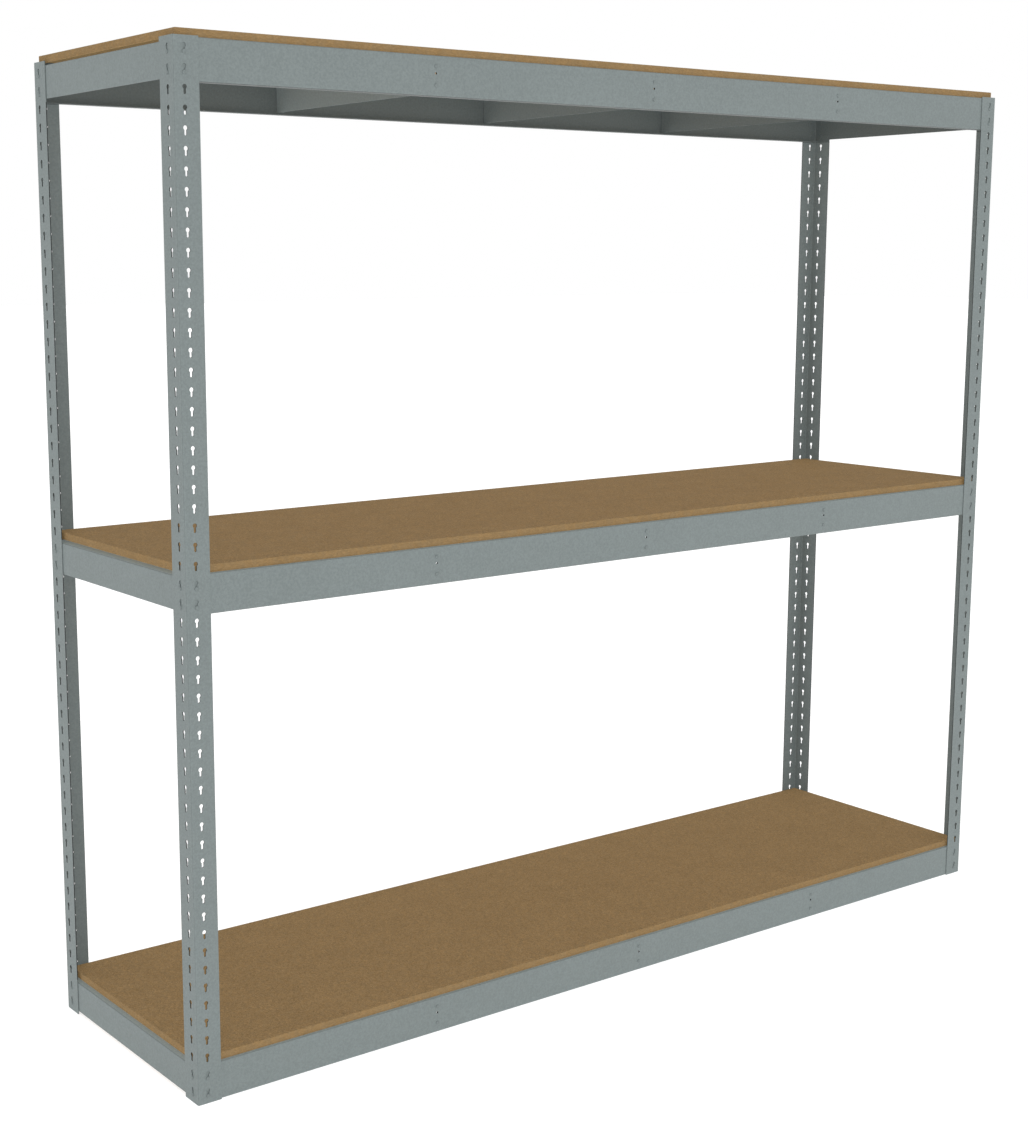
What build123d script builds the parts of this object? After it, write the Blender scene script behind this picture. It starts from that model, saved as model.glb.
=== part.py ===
from build123d import *
import os

# Boltless shelving unit: four keyhole angle posts, three levels of riveted
# beams that hook into them, deck supports from front to back, and loose boards.
# Millimetres. X runs along the width, Y from front to back, Z up.
# The origin is on the floor, midway between the ends and between front and back.

# Whole unit, over the outer faces of the posts
unit_width = 2456.0
unit_depth = 626.6
level_names = ["lower", "middle", "upper"]

# Sheet steel shared by posts, beams and supports
sheet = 1.9
fit_gap = 0.15              # between a beam and the post that it hangs on

# Posts: equal angles with a column of keyholes down each flange
post_height = 2142.5
post_flange = 54.9
post_bend = 3.2             # outside radius of the corner

# Keyholes: a round mouth that a rivet head passes, above a slot that holds its shank
keyhole_pitch = 38.1
keyhole_count = 56
keyhole_inset = 23.1        # from the post's corner to the column
mouth_radius = 4.6
slot_radius = 2.4
keyhole_drop = 11.8         # from the mouth's centre down to the slot's
first_mouth = 28.6          # above the post's foot

# Long beams, front and back: channels with both flanges turned inwards
floor_gap = 0.5             # under the lower pair, so that the posts carry the unit
long_beam_height = 82.55
long_beam_flange = 38.1     # the top one, which the deck lies on
long_beam_lip = 21.0        # the bottom one
long_beam_bend = 3.0
beam_end_gap = 15.5         # from the unit's end to the beam's end

# End beams, left and right: angles with a top flange turned inwards
end_beam_height = 69.85
end_beam_flange = 38.1
end_beam_rise = 6.4         # their lower edge above the long beams' underside

# Deck supports: angles from beam to beam, with a tab at each end
support_flange = 25.0
support_bend = 3.0
support_web_offset = 9.5    # from the rivet column to the web's left face
support_tab = 21.5
support_stations = {"left": -0.25, "centre": 0.0, "right": 0.25}   # times the width
sight_hole_radius = 2.4
sight_hole_height = 46.5    # above the long beam's underside
support_rivet_heights = [22.2, 60.3]

# Decks: one board on each level
deck_length = 2438.4
deck_width = 609.6
deck_thickness = 15.88
deck_edge = 0.5             # small chamfer round the top and bottom faces
deck_rest_gap = 0.05

# Rivets
shank_radius = 2.2
head_radius = 4.3
head_height = 2.0
head_crown = 1.2
tail_radius = 3.9
tail_height = 1.4
tail_edge = 0.5

# Derived places
level_spacing = 27 * keyhole_pitch
level_floors = [floor_gap + n * level_spacing for n in range(len(level_names))]
lower_rivet = first_mouth - keyhole_drop - floor_gap       # sits in the slot below its mouth
beam_rivet_heights = [lower_rivet, lower_rivet + keyhole_pitch]
beam_face = sheet + fit_gap                                # from the unit's face to a beam's
web_inside = beam_face + sheet
left = -unit_width / 2
front = -unit_depth / 2
cutter_reach = 20.0

# Sketch planes that look at the front (X across, Z up) and at the left end (Y across, Z up)
front_view = Plane(origin=(0, 0, 0), x_dir=(1, 0, 0), z_dir=(0, -1, 0))
end_view = Plane(origin=(0, 0, 0), x_dir=(0, 1, 0), z_dir=(1, 0, 0))


def folded_section(outer_corners, inner_corners, bend):
    """Section of a folded sheet between its outer and its inner corner points."""
    outer = FilletPolyline(*outer_corners, radius=bend)
    inner = FilletPolyline(*inner_corners, radius=bend - sheet)
    start_cap = Line(outer @ 0, inner @ 0)
    end_cap = Line(outer @ 1, inner @ 1)
    return make_face([outer, end_cap, inner, start_cap])


def angle_section(first_leg, second_leg, bend):
    """L section with its outside corner at the sketch's origin."""
    outer = [(first_leg, 0), (0, 0), (0, second_leg)]
    inner = [(first_leg, sheet), (sheet, sheet), (sheet, second_leg)]
    return folded_section(outer, inner, bend)


def keyhole():
    """Keyhole outline, with the centre of its round mouth at the origin."""
    mouth = Circle(mouth_radius)
    neck = Pos(0, -keyhole_drop / 2) * Rectangle(2 * slot_radius, keyhole_drop)
    seat = Pos(0, -keyhole_drop) * Circle(slot_radius)
    return mouth + neck + seat


def keyhole_column(view):
    """Cutters for one flange's column of keyholes, seen in the given view."""
    holes = [
        view * Pos(keyhole_inset, first_mouth + n * keyhole_pitch) * keyhole()
        for n in range(keyhole_count)
    ]
    return [extrude(hole, amount=cutter_reach, both=True) for hole in holes]


def corner_post():
    """Front left post, with its corner at the origin and its foot at Z = 0."""
    blank = extrude(angle_section(post_flange, post_flange, post_bend), amount=post_height)
    return blank - keyhole_column(front_view) - keyhole_column(end_view)


def round_cutters(view, places, radius):
    """Round cutters through a web at the given (across, up) places."""
    holes = [view * Pos(across, up) * Circle(radius) for across, up in places]
    return [extrude(hole, amount=cutter_reach, both=True) for hole in holes]


def support_columns():
    """X of each deck support's rivet column."""
    return {name: share * unit_width for name, share in support_stations.items()}


def long_beam():
    """Front beam, centred on X = 0, with its face at Y = 0 and its underside at Z = 0."""
    length = unit_width - 2 * beam_end_gap
    lip, flange, height = long_beam_lip, long_beam_flange, long_beam_height
    outer = [(lip, 0), (0, 0), (0, height), (flange, height)]
    inner = [(lip, sheet), (sheet, sheet), (sheet, height - sheet), (flange, height - sheet)]
    section = end_view * folded_section(outer, inner, long_beam_bend)
    beam = extrude(section, amount=length / 2, both=True)

    post_column = unit_width / 2 - keyhole_inset
    rivet_holes = [(side * post_column, up) for side in (-1, 1) for up in beam_rivet_heights]
    for column in support_columns().values():
        rivet_holes += [(column, up) for up in support_rivet_heights]
    sight_holes = [(column, sight_hole_height) for column in support_columns().values()]
    beam -= round_cutters(front_view, rivet_holes, shank_radius)
    return beam - round_cutters(front_view, sight_holes, sight_hole_radius)


def end_beam():
    """Left beam, centred on Y = 0, with its face at X = 0 and the long beams' underside at Z = 0."""
    length = unit_depth - 2 * beam_end_gap
    top = end_beam_rise + end_beam_height
    outer = [(0, end_beam_rise), (0, top), (end_beam_flange, top)]
    inner = [(sheet, end_beam_rise), (sheet, top - sheet), (end_beam_flange, top - sheet)]
    section = front_view * folded_section(outer, inner, long_beam_bend)
    beam = extrude(section, amount=length / 2, both=True)

    post_column = unit_depth / 2 - keyhole_inset
    rivet_holes = [(side * post_column, up) for side in (-1, 1) for up in beam_rivet_heights]
    return beam - round_cutters(end_view, rivet_holes, shank_radius)


def deck_support():
    """Deck support about X = 0 of its rivet column and Y = 0 of the unit."""
    reach = unit_depth / 2 - web_inside                  # half the distance between the webs
    notch = long_beam_flange - sheet + 0.5               # clears the long beams' top flanges
    bottom = end_beam_rise
    top = long_beam_height
    notched_top = long_beam_height - long_beam_bend - 0.1

    outer = [(0, bottom), (0, top), (support_flange, top)]
    inner = [(sheet, bottom), (sheet, top - sheet), (support_flange, top - sheet)]
    section = front_view * folded_section(outer, inner, support_bend)
    middle = extrude(section, amount=reach - notch, both=True)

    tab_section = angle_section(support_tab, notch + sheet, support_bend)
    end = Pos(0, -reach, bottom) * extrude(tab_section, amount=notched_top - bottom)
    support = Pos(-support_web_offset, 0, 0) * (middle + end + mirror(end, Plane.XZ))

    holes = round_cutters(front_view, [(0, up) for up in support_rivet_heights], shank_radius)
    holes += round_cutters(front_view, [(0, sight_hole_height)], sight_hole_radius)
    for tab_y in (-reach, reach):
        support -= [Pos(0, tab_y, 0) * hole for hole in holes]
    return support


def rivet(grip):
    """Rivet along +Z: its head's underside is at Z = 0 and its tail clamps at Z = grip."""
    head = Pos(0, 0, -head_height) * Cylinder(
        head_radius, head_height, align=(Align.CENTER, Align.CENTER, Align.MIN)
    )
    head = fillet(head.edges().sort_by(Axis.Z)[0], head_crown)
    shank = Cylinder(shank_radius, grip, align=(Align.CENTER, Align.CENTER, Align.MIN))
    tail = Pos(0, 0, grip) * Cylinder(
        tail_radius, tail_height, align=(Align.CENTER, Align.CENTER, Align.MIN)
    )
    tail = fillet(tail.edges().sort_by(Axis.Z)[-1], tail_edge)
    return head + shank + tail


def rivet_group(places, grip, towards):
    """Separate rivets at the given head seats, all driven along the towards direction."""
    seats = [Plane(origin=place, z_dir=towards) for place in places]
    return Compound([seat * rivet(grip) for seat in seats])


def deck():
    """Board centred on X = 0 and Y = 0, with its underside at Z = 0."""
    board = Box(
        deck_length, deck_width, deck_thickness, align=(Align.CENTER, Align.CENTER, Align.MIN)
    )
    rims = board.faces().sort_by(Axis.Z)[0].edges() + board.faces().sort_by(Axis.Z)[-1].edges()
    return chamfer(rims, deck_edge)


def write(shape, name):
    """Write one sub-part, under the name of its node."""
    export_step(shape, f"parts/{name}.step")


def write_posts():
    """Four posts: one shape, mirrored to the corners."""
    front_left = Pos(left, front, 0) * corner_post()
    front_right = mirror(front_left, Plane.YZ)
    write(front_left, "post_front_left")
    write(front_right, "post_front_right")
    write(mirror(front_left, Plane.XZ), "post_back_left")
    write(mirror(front_right, Plane.XZ), "post_back_right")


def write_level(level, floor):
    """Beams, supports, rivets and board of one level, with the long beams' underside at floor."""
    lift = Pos(0, 0, floor)
    front_beam = lift * Pos(0, front + beam_face, 0) * long_beam()
    left_beam = lift * Pos(left + beam_face, 0, 0) * end_beam()
    write(front_beam, f"beam_front_{level}")
    write(mirror(front_beam, Plane.XZ), f"beam_back_{level}")
    write(left_beam, f"end_beam_left_{level}")
    write(mirror(left_beam, Plane.YZ), f"end_beam_right_{level}")

    hook_grip = fit_gap + sheet + fit_gap + sheet        # gap, post flange, gap, beam web
    seat_heights = [floor + up for up in beam_rivet_heights]
    across = unit_width / 2 - keyhole_inset
    front_places = [(side * across, front - fit_gap, up) for side in (-1, 1) for up in seat_heights]
    front_rivets = rivet_group(front_places, hook_grip, (0, 1, 0))
    across = unit_depth / 2 - keyhole_inset
    left_places = [(left - fit_gap, side * across, up) for side in (-1, 1) for up in seat_heights]
    left_rivets = rivet_group(left_places, hook_grip, (1, 0, 0))
    write(front_rivets, f"rivets_front_{level}")
    write(mirror(front_rivets, Plane.XZ), f"rivets_back_{level}")
    write(left_rivets, f"rivets_left_{level}")
    write(mirror(left_rivets, Plane.YZ), f"rivets_right_{level}")

    support = deck_support()
    tie_places = []
    for station, column in support_columns().items():
        write(lift * Pos(column, 0, 0) * support, f"support_{station}_{level}")
        tie_places += [(column, front + beam_face, floor + up) for up in support_rivet_heights]
    front_ties = rivet_group(tie_places, 2 * sheet, (0, 1, 0))
    back_ties = mirror(front_ties, Plane.XZ)
    write(Compound(front_ties.solids() + back_ties.solids()), f"support_rivets_{level}")

    board = Pos(0, 0, floor + long_beam_height + deck_rest_gap) * deck()
    write(board, f"deck_{level}")


def main():
    os.makedirs("parts", exist_ok=True)
    write_posts()
    for level, floor in zip(level_names, level_floors):
        write_level(level, floor)


main()
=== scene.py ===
import math

import bpy
from mathutils import Matrix, Vector


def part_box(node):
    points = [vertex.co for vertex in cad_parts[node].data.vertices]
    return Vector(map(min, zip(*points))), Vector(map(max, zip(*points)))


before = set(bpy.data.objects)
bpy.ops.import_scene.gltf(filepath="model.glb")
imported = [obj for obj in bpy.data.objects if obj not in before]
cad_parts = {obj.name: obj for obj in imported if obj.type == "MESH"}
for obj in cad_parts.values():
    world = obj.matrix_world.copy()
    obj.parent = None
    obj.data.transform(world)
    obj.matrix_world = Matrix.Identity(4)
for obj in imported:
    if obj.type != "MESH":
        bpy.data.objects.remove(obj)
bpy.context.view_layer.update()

# Boltless shelving unit on a plain pale floor. Metres, in the CAD model's frame.

# Camera: place, turn about Z, tilt from level and roll in degrees, lens and sensor in mm
CAMERA_PLACE = (-2.9028, -3.4242, 1.7267)
CAMERA_AZIMUTH = 35.849
CAMERA_TILT = -9.455
CAMERA_ROLL = 0.1534
LENS = 57.608
LENS_SHIFT = (0.0814, -0.0052)
SENSOR = 36.0
CLIP_END = 100.0

# Light: a white surround that dims overhead, a floor that glows a little, and fills that
# cast no shadow, so that folds and gaps stay open
SURROUND = 1.0
OVERHEAD = 0.42             # share of the surround's strength straight above
DIMS_FROM = 0.22            # sine of the height where it starts to dim
DIMS_TO = 0.80              # and of where it is dimmest
FILLS = {                   # name: direction and strength
    "fill_front_left": ((0.85, 1.10, -0.35), 2.2),
    "fill_back_right": ((-0.85, -1.10, -0.35), 2.0),
    "fill_overhead": ((0.0, 0.0, -1.0), 0.75),
    "fill_underneath": ((0.0, 0.0, 1.0), 1.1),
}
FLOOR_REACH = 60.0
FLOOR_GLOW = 0.16

# Finishes, linear RGB and opaque
WHITE = (1.0, 1.0, 1.0, 1.0)
FLOOR = (0.93, 0.93, 0.93, 1.0)
PAINT = (0.150, 0.1745, 0.173, 1.0)
BOARD = (0.218, 0.1406, 0.0645, 1.0)
PALER_BOARD = (0.96 * BOARD[0], BOARD[1], 1.08 * BOARD[2], 1.0)
STEEL_ROUGHNESS = (0.46, 0.60)
BOARD_ROUGHNESS = (0.82, 0.95)
STEEL_SPECULAR = 0.25
BOARD_SPECULAR = 0.03
PEEL_DEPTH = 0.0002
GRAIN_DEPTH = 0.0003

# Painted shade and light, and the board's grain, on paint and board: 1 is the colour itself
POST_INSIDE_PAINTED_SHADE = 0.78          # painted shade where the sheet faces inwards
BEAM_INSIDE_PAINTED_SHADE = 0.505         # painted shade inside the beams, and on the posts where a beam closes them
LONG_BEAM_TOP_PAINTED_LIGHT = 1.3         # painted light where the sheet faces up, in the narrow gap beside a board
END_BEAM_TOP_PAINTED_LIGHT = 1.5
BEND_PAINTED_SHADE = 0.80                 # painted shade round the outside of a bend
CUT_EDGE_PAINTED_SHADE = 0.08             # painted shade on hole walls and cut edges
COVERED_EDGE_PAINTED_SHADE = 0.80         # lighter painted shade on those with a beam close behind
# painted shade on the rivets
RIVET_PAINTED_SHADE = 0.94
# painted shade of each row of supports, darker towards the right
SUPPORT_PAINTED_SHADES = {"left": 0.91, "centre": 0.675, "right": 0.605}
# painted light on the boards' undersides
BOARD_UNDERSIDE_PAINTED_LIGHT = 1.5
BOARD_VOID_PAINTED_SHADE = 0.78           # painted shade in the pits of a board's sawn edges
FACE_CHIPS = 0.62           # how far the chips differ in shade
EDGE_CHIPS = 0.26

# Where one shade gives way to the next: depths below the outer face, a height past a beam,
# and parts of the normal that lie along an axis
SHEET = 0.0019
SHEET_ENDS = (1.02 * SHEET, 1.1 * SHEET)
INNER_SIDE = (0.5 * SHEET, 0.9 * SHEET)
PAST_BEAM = 0.002
TURNS = (0.3, 0.7)
LIES_FLAT = (0.88, 0.98)
LEAVES_BEND = (0.72, 0.97)
LEAVES_WALL = (0.1, 0.3)

# Patterns, in cells to a metre
CLOUDS = 5.0
SPECKS = 210.0
GRIT = 1100.0
SHEEN = 260.0
PEEL = 520.0
FINE_PEEL = 1700.0
LONG_CHIPS = 330.0
CROSS_CHIPS = 290.0
CORE_CHIPS = 210.0
CHIP_PATCHES = 150.0
WANDER = 60.0
WANDER_REACH = 0.01         # metres
DUST = 1500.0
PITS = 420.0
STAINS = 14.0
TINTS = 90.0


def make_camera():
    data = bpy.data.cameras.new("camera")
    data.lens = LENS
    data.sensor_width = SENSOR
    data.shift_x, data.shift_y = LENS_SHIFT
    data.clip_end = CLIP_END
    camera = bpy.data.objects.new("camera", data)
    bpy.context.scene.collection.objects.link(camera)
    turn = Matrix.Rotation(math.radians(-CAMERA_AZIMUTH), 4, "Z")
    tilt = Matrix.Rotation(math.radians(90.0 + CAMERA_TILT), 4, "X")
    roll = Matrix.Rotation(math.radians(-CAMERA_ROLL), 4, "Z")
    camera.matrix_world = Matrix.Translation(CAMERA_PLACE) @ turn @ tilt @ roll
    bpy.context.scene.camera = camera


class Nodes:
    """A node tree, with one short method for each kind of node that it uses."""

    def __init__(self, tree):
        self.tree = tree

    def feed(self, socket, value):
        if isinstance(value, bpy.types.NodeSocket):
            self.tree.links.new(value, socket)
        else:
            socket.default_value = value

    def node(self, kind, **inputs):
        made = self.tree.nodes.new(kind)
        for key, value in inputs.items():
            self.feed(made.inputs[key.replace("_", " ")], value)
        return made

    def math(self, operation, *values):
        made = self.tree.nodes.new("ShaderNodeMath")
        made.operation = operation
        for socket, value in zip(made.inputs, values):
            self.feed(socket, value)
        return made.outputs[0]

    def axes(self, vector):
        """The X, Y and Z of a vector."""
        return self.node("ShaderNodeSeparateXYZ", Vector=vector).outputs

    def scaled(self, vector, factors):
        made = self.tree.nodes.new("ShaderNodeVectorMath")
        made.operation = "MULTIPLY"
        self.feed(made.inputs[0], vector)
        self.feed(made.inputs[1], factors)
        return made.outputs["Vector"]

    def spread(self, value, low, high, to_low=0.0, to_high=1.0):
        """value from low to high, turned smoothly into to_low to to_high."""
        made = self.tree.nodes.new("ShaderNodeMapRange")
        made.interpolation_type = "SMOOTHSTEP"
        for socket, number in zip(made.inputs, (value, low, high, to_low, to_high)):
            self.feed(socket, number)
        return made.outputs["Result"]

    def waver(self, noise, band, swing):
        """1 give or take swing, as the noise moves by band about its middle."""
        return self.spread(noise, 0.5 - band, 0.5 + band, 1.0 - swing, 1.0 + swing)

    def mix(self, share, first, second, blend="MIX"):
        made = self.tree.nodes.new("ShaderNodeMix")
        made.data_type = "RGBA"
        made.blend_type = blend
        colours = [socket for socket in made.inputs if socket.type == "RGBA"]
        self.feed(made.inputs[0], share)
        self.feed(colours[0], first)
        self.feed(colours[1], second)
        return [socket for socket in made.outputs if socket.type == "RGBA"][0]

    def shaded(self, colour, *shades):
        """colour, times each of the shades."""
        shade = shades[0]
        for more in shades[1:]:
            shade = self.math("MULTIPLY", shade, more)
        grey = self.node("ShaderNodeCombineColor", Red=shade, Green=shade, Blue=shade)
        return self.mix(1.0, colour, grey.outputs[0], "MULTIPLY")

    def noise(self, place, scale, detail=2.0, roughness=0.5):
        settings = {"Scale": scale, "Detail": detail, "Roughness": roughness}
        return self.node("ShaderNodeTexNoise", Vector=place, **settings).outputs["Fac"]

    def cells(self, place, scale):
        """A random shade from 0 to 1 for each cell of a broken pattern."""
        made = self.node("ShaderNodeTexVoronoi", Vector=place, Scale=scale)
        return self.node("ShaderNodeSeparateColor", Color=made.outputs["Color"]).outputs[0]

    def bump(self, height, distance, strength):
        made = self.node("ShaderNodeBump", Height=height, Distance=distance, Strength=strength)
        return made.outputs["Normal"]


def make_light():
    world = bpy.data.worlds.new("surround")
    world.use_nodes = True
    n = Nodes(world.node_tree)
    background = world.node_tree.nodes["Background"]
    height = n.axes(n.node("ShaderNodeTexCoord").outputs["Generated"])[2]
    strength = n.spread(height, DIMS_FROM, DIMS_TO, SURROUND, SURROUND * OVERHEAD)
    n.feed(background.inputs["Strength"], strength)
    background.inputs["Color"].default_value = WHITE
    bpy.context.scene.world = world

    for name, (direction, strength) in FILLS.items():
        data = bpy.data.lights.new(name, "SUN")
        data.energy = strength
        data.use_shadow = False
        fill = bpy.data.objects.new(name, data)
        fill.visible_glossy = False
        fill.rotation_mode = "QUATERNION"
        fill.rotation_quaternion = Vector(direction).to_track_quat("-Z", "Y")
        bpy.context.scene.collection.objects.link(fill)


def new_material(name):
    material = bpy.data.materials.new(name)
    material.use_nodes = True
    return material, material.node_tree.nodes["Principled BSDF"], Nodes(material.node_tree)


def make_floor():
    mesh = bpy.data.meshes.new("floor")
    low, high = -FLOOR_REACH, FLOOR_REACH
    corners = [(low, low, 0), (high, low, 0), (high, high, 0), (low, high, 0)]
    mesh.from_pydata(corners, [], [(0, 1, 2, 3)])
    floor = bpy.data.objects.new("floor", mesh)
    bpy.context.scene.collection.objects.link(floor)
    material, shader, n = new_material("floor")
    shader.inputs["Base Color"].default_value = FLOOR
    shader.inputs["Roughness"].default_value = 1.0
    shader.inputs["Specular IOR Level"].default_value = 0.0
    shader.inputs["Emission Color"].default_value = WHITE
    shader.inputs["Emission Strength"].default_value = FLOOR_GLOW
    material.cycles.emission_sampling = "NONE"
    mesh.materials.append(material)


def outer_planes(node):
    """How far from the unit's middle a node's outermost faces are, along X and along Y."""
    low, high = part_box(node)
    return [max(abs(low[axis]), abs(high[axis])) for axis in (0, 1)]


def sheet_masks(n, across, facing, skins):
    """Masks from 0 to 1 of a sheet's inner side, and of its cut edges and hole walls, which
    lie within the sheet and don't face across it."""
    depth = 1.0
    in_sheet = 0.0
    facing_across = 0.0
    for distance, skin, square in zip(across, skins, facing):
        if skin is not None:
            below = n.math("SUBTRACT", skin, n.math("ABSOLUTE", distance))
            near = n.spread(below, *SHEET_ENDS, 1.0, 0.0)
            depth = n.math("MINIMUM", depth, below)
            in_sheet = n.math("MAXIMUM", in_sheet, near)
            facing_across = n.math("MAXIMUM", facing_across, n.math("MULTIPLY", near, square))
    inner_side = n.spread(depth, *INNER_SIDE)
    wall = n.spread(facing_across, *LEAVES_WALL, 1.0, 0.0)
    return inner_side, n.math("MULTIPLY", in_sheet, wall)


def painted_steel(name, shade, skins, inside=1.0, top=1.0, cut_edge=CUT_EDGE_PAINTED_SHADE, covers=()):
    """Grey textured powder coat on folded sheet, with painted shade and painted light. skins
    are the distances of the outer faces from the unit's middle, along X and along Y, or None
    where there is no such face. shade is painted shade on the whole piece, inside is painted
    shade on its inner sides, top is painted light on what faces straight up, and cut_edge is
    painted shade on hole walls and cut edges. covers are pairs of heights between which a beam
    closes the piece from inside, so that there its hole walls get a lighter painted shade and
    its inner sides the beams' inner painted shade."""
    material, shader, n = new_material(name)
    place = n.node("ShaderNodeTexCoord").outputs["Object"]
    x, y, z = n.axes(place)
    normal = n.axes(n.node("ShaderNodeTexCoord").outputs["Normal"])
    facing = [n.math("ABSOLUTE", part) for part in normal]
    inner_side, cut = sheet_masks(n, (x, y), facing, skins)
    # where a beam closes it: lighter painted shade on hole walls, the beams' painted shade
    # inside
    for low, high in covers:
        half = (high - low) / 2
        away = n.math("ABSOLUTE", n.math("SUBTRACT", z, low + half))
        covered = n.spread(away, half, half + PAST_BEAM, 1.0, 0.0)
        cut_edge = n.spread(covered, 0.0, 1.0, cut_edge, COVERED_EDGE_PAINTED_SHADE)
        inside = n.spread(covered, 0.0, 1.0, inside, BEAM_INSIDE_PAINTED_SHADE)

    not_up = n.spread(normal[2], *TURNS, 1.0, 0.0)
    flat = n.math("MAXIMUM", facing[0], n.math("MAXIMUM", facing[1], facing[2]))
    # painted shade and painted light, then the coat's mottle
    shades = [
        shade,
        n.spread(n.math("MULTIPLY", inner_side, not_up), 0.0, 1.0, 1.0, inside),
        n.spread(normal[2], *LIES_FLAT, 1.0, top),
        n.spread(cut, 0.0, 1.0, 1.0, cut_edge),
        n.spread(n.math("MAXIMUM", flat, inner_side), *LEAVES_BEND, BEND_PAINTED_SHADE, 1.0),
        n.waver(n.noise(place, CLOUDS, 3.0), 0.2, 0.015),
        n.waver(n.noise(place, SPECKS, 2.0), 0.25, 0.08),
        n.waver(n.noise(place, GRIT, 1.0), 0.25, 0.07),
    ]
    n.feed(shader.inputs["Base Color"], n.shaded(PAINT, *shades))
    roughness = n.spread(n.noise(place, SHEEN), 0.3, 0.7, *STEEL_ROUGHNESS)
    n.feed(shader.inputs["Roughness"], roughness)
    shader.inputs["Specular IOR Level"].default_value = STEEL_SPECULAR
    fine_peel = n.math("MULTIPLY", n.noise(place, FINE_PEEL), 0.3)
    peel = n.math("ADD", n.noise(place, PEEL, 2.0), fine_peel)
    n.feed(shader.inputs["Normal"], n.bump(peel, PEEL_DEPTH, 0.35))
    return material


def particleboard(name):
    """Pressed chips, fine on the sanded faces, and coarse and open in the sawn edges, with
    painted light on the underside and painted shade in the edge pits.
    """
    material, shader, n = new_material(name)
    place = n.node("ShaderNodeTexCoord").outputs["Object"]
    normal = n.node("ShaderNodeTexCoord").outputs["Normal"]
    up = n.axes(normal)[2]
    down = n.math("MULTIPLY", up, -1.0)
    on_edge = n.spread(n.math("ABSOLUTE", up), *TURNS, 1.0, 0.0)

    wander = n.node("ShaderNodeTexNoise", Vector=place, Scale=WANDER).outputs["Color"]
    shift = n.tree.nodes.new("ShaderNodeVectorMath")
    n.feed(shift.inputs[0], place)
    n.feed(shift.inputs[1], n.scaled(wander, (WANDER_REACH, WANDER_REACH, WANDER_REACH)))
    bent = shift.outputs["Vector"]
    long_chips = n.cells(n.scaled(bent, (1.0, 2.6, 1.0)), LONG_CHIPS)
    cross_chips = n.cells(n.scaled(bent, (2.4, 1.0, 1.0)), CROSS_CHIPS)
    core_chips = n.cells(n.scaled(bent, (1.0, 1.0, 3.2)), CORE_CHIPS)
    patches = n.spread(n.noise(place, CHIP_PATCHES), 0.42, 0.58)
    face_chips = n.mix(patches, long_chips, cross_chips)
    chips = n.axes(n.mix(on_edge, face_chips, core_chips))[0]
    dust = n.noise(place, DUST, 1.0)
    pits = n.spread(n.noise(n.scaled(place, (1.0, 1.0, 2.0)), PITS), 0.62, 0.72)
    voids = n.math("MULTIPLY", on_edge, pits)

    difference = n.spread(on_edge, 0.0, 1.0, FACE_CHIPS, EDGE_CHIPS)
    chip_shade = n.math("MULTIPLY", n.math("SUBTRACT", chips, 0.5), difference)
    shades = [
        n.math("ADD", chip_shade, 1.0),
        # painted light on the underside
        n.spread(down, *TURNS, 1.0, BOARD_UNDERSIDE_PAINTED_LIGHT),
        n.waver(n.noise(place, STAINS, 4.0, 0.6), 0.2, 0.03),
        n.waver(dust, 0.2, 0.1),
        # painted shade in the pits
        n.spread(voids, 0.0, 1.0, 1.0, BOARD_VOID_PAINTED_SHADE),
    ]
    paleness = n.spread(n.noise(place, TINTS, 3.0), 0.35, 0.65)
    colour = n.mix(paleness, BOARD, PALER_BOARD)
    n.feed(shader.inputs["Base Color"], n.shaded(colour, *shades))
    n.feed(shader.inputs["Roughness"], n.spread(chips, 0.0, 1.0, *BOARD_ROUGHNESS))
    shader.inputs["Specular IOR Level"].default_value = BOARD_SPECULAR
    grain = n.math("MULTIPLY", n.math("ADD", chips, dust), 0.5)
    n.feed(shader.inputs["Normal"], n.bump(n.math("SUBTRACT", grain, voids), GRAIN_DEPTH, 0.5))
    return material


def dress(names, material):
    for name in names:
        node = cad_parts[name]
        node.data.materials.clear()
        node.data.materials.append(material)


def starting(*starts):
    return [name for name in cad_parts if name.startswith(starts)]


make_camera()
make_light()
make_floor()
bpy.context.scene.view_settings.view_transform = "Standard"

post_skins = tuple(outer_planes("post_front_left"))
long_skins = (None, outer_planes("beam_front_lower")[1])
end_skins = (outer_planes("end_beam_left_lower")[0], None)
beam_boxes = [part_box(name) for name in starting("beam_front_")]
beam_heights = [(low[2], high[2]) for low, high in beam_boxes]
post_steel = painted_steel("post_steel", 1.0, post_skins, POST_INSIDE_PAINTED_SHADE, covers=beam_heights)
long_beam_steel = painted_steel("long_beam_steel", 1.0, long_skins, BEAM_INSIDE_PAINTED_SHADE, LONG_BEAM_TOP_PAINTED_LIGHT)
end_beam_steel = painted_steel("end_beam_steel", 1.0, end_skins, BEAM_INSIDE_PAINTED_SHADE, END_BEAM_TOP_PAINTED_LIGHT)
dress(starting("post_"), post_steel)
dress(starting("beam_"), long_beam_steel)
dress(starting("end_beam_"), end_beam_steel)
support_skins = (None, outer_planes("support_centre_lower")[1])
# each row of supports gets its own painted shade
for station, shade in SUPPORT_PAINTED_SHADES.items():
    support_painted_shade_steel = painted_steel(f"support_{station}_steel", shade, support_skins)
    dress(starting(f"support_{station}_"), support_painted_shade_steel)
# rivets: painted shade all over, and the beams' inner painted shade on their tails
long_rivets = painted_steel("rivet_steel", RIVET_PAINTED_SHADE, long_skins, BEAM_INSIDE_PAINTED_SHADE, cut_edge=1.0)
end_rivets = painted_steel("end_rivet_steel", RIVET_PAINTED_SHADE, end_skins, BEAM_INSIDE_PAINTED_SHADE, cut_edge=1.0)
dress(starting("rivets_front_", "rivets_back_", "support_rivets_"), long_rivets)
dress(starting("rivets_left_", "rivets_right_"), end_rivets)
dress(starting("deck_"), particleboard("particleboard"))
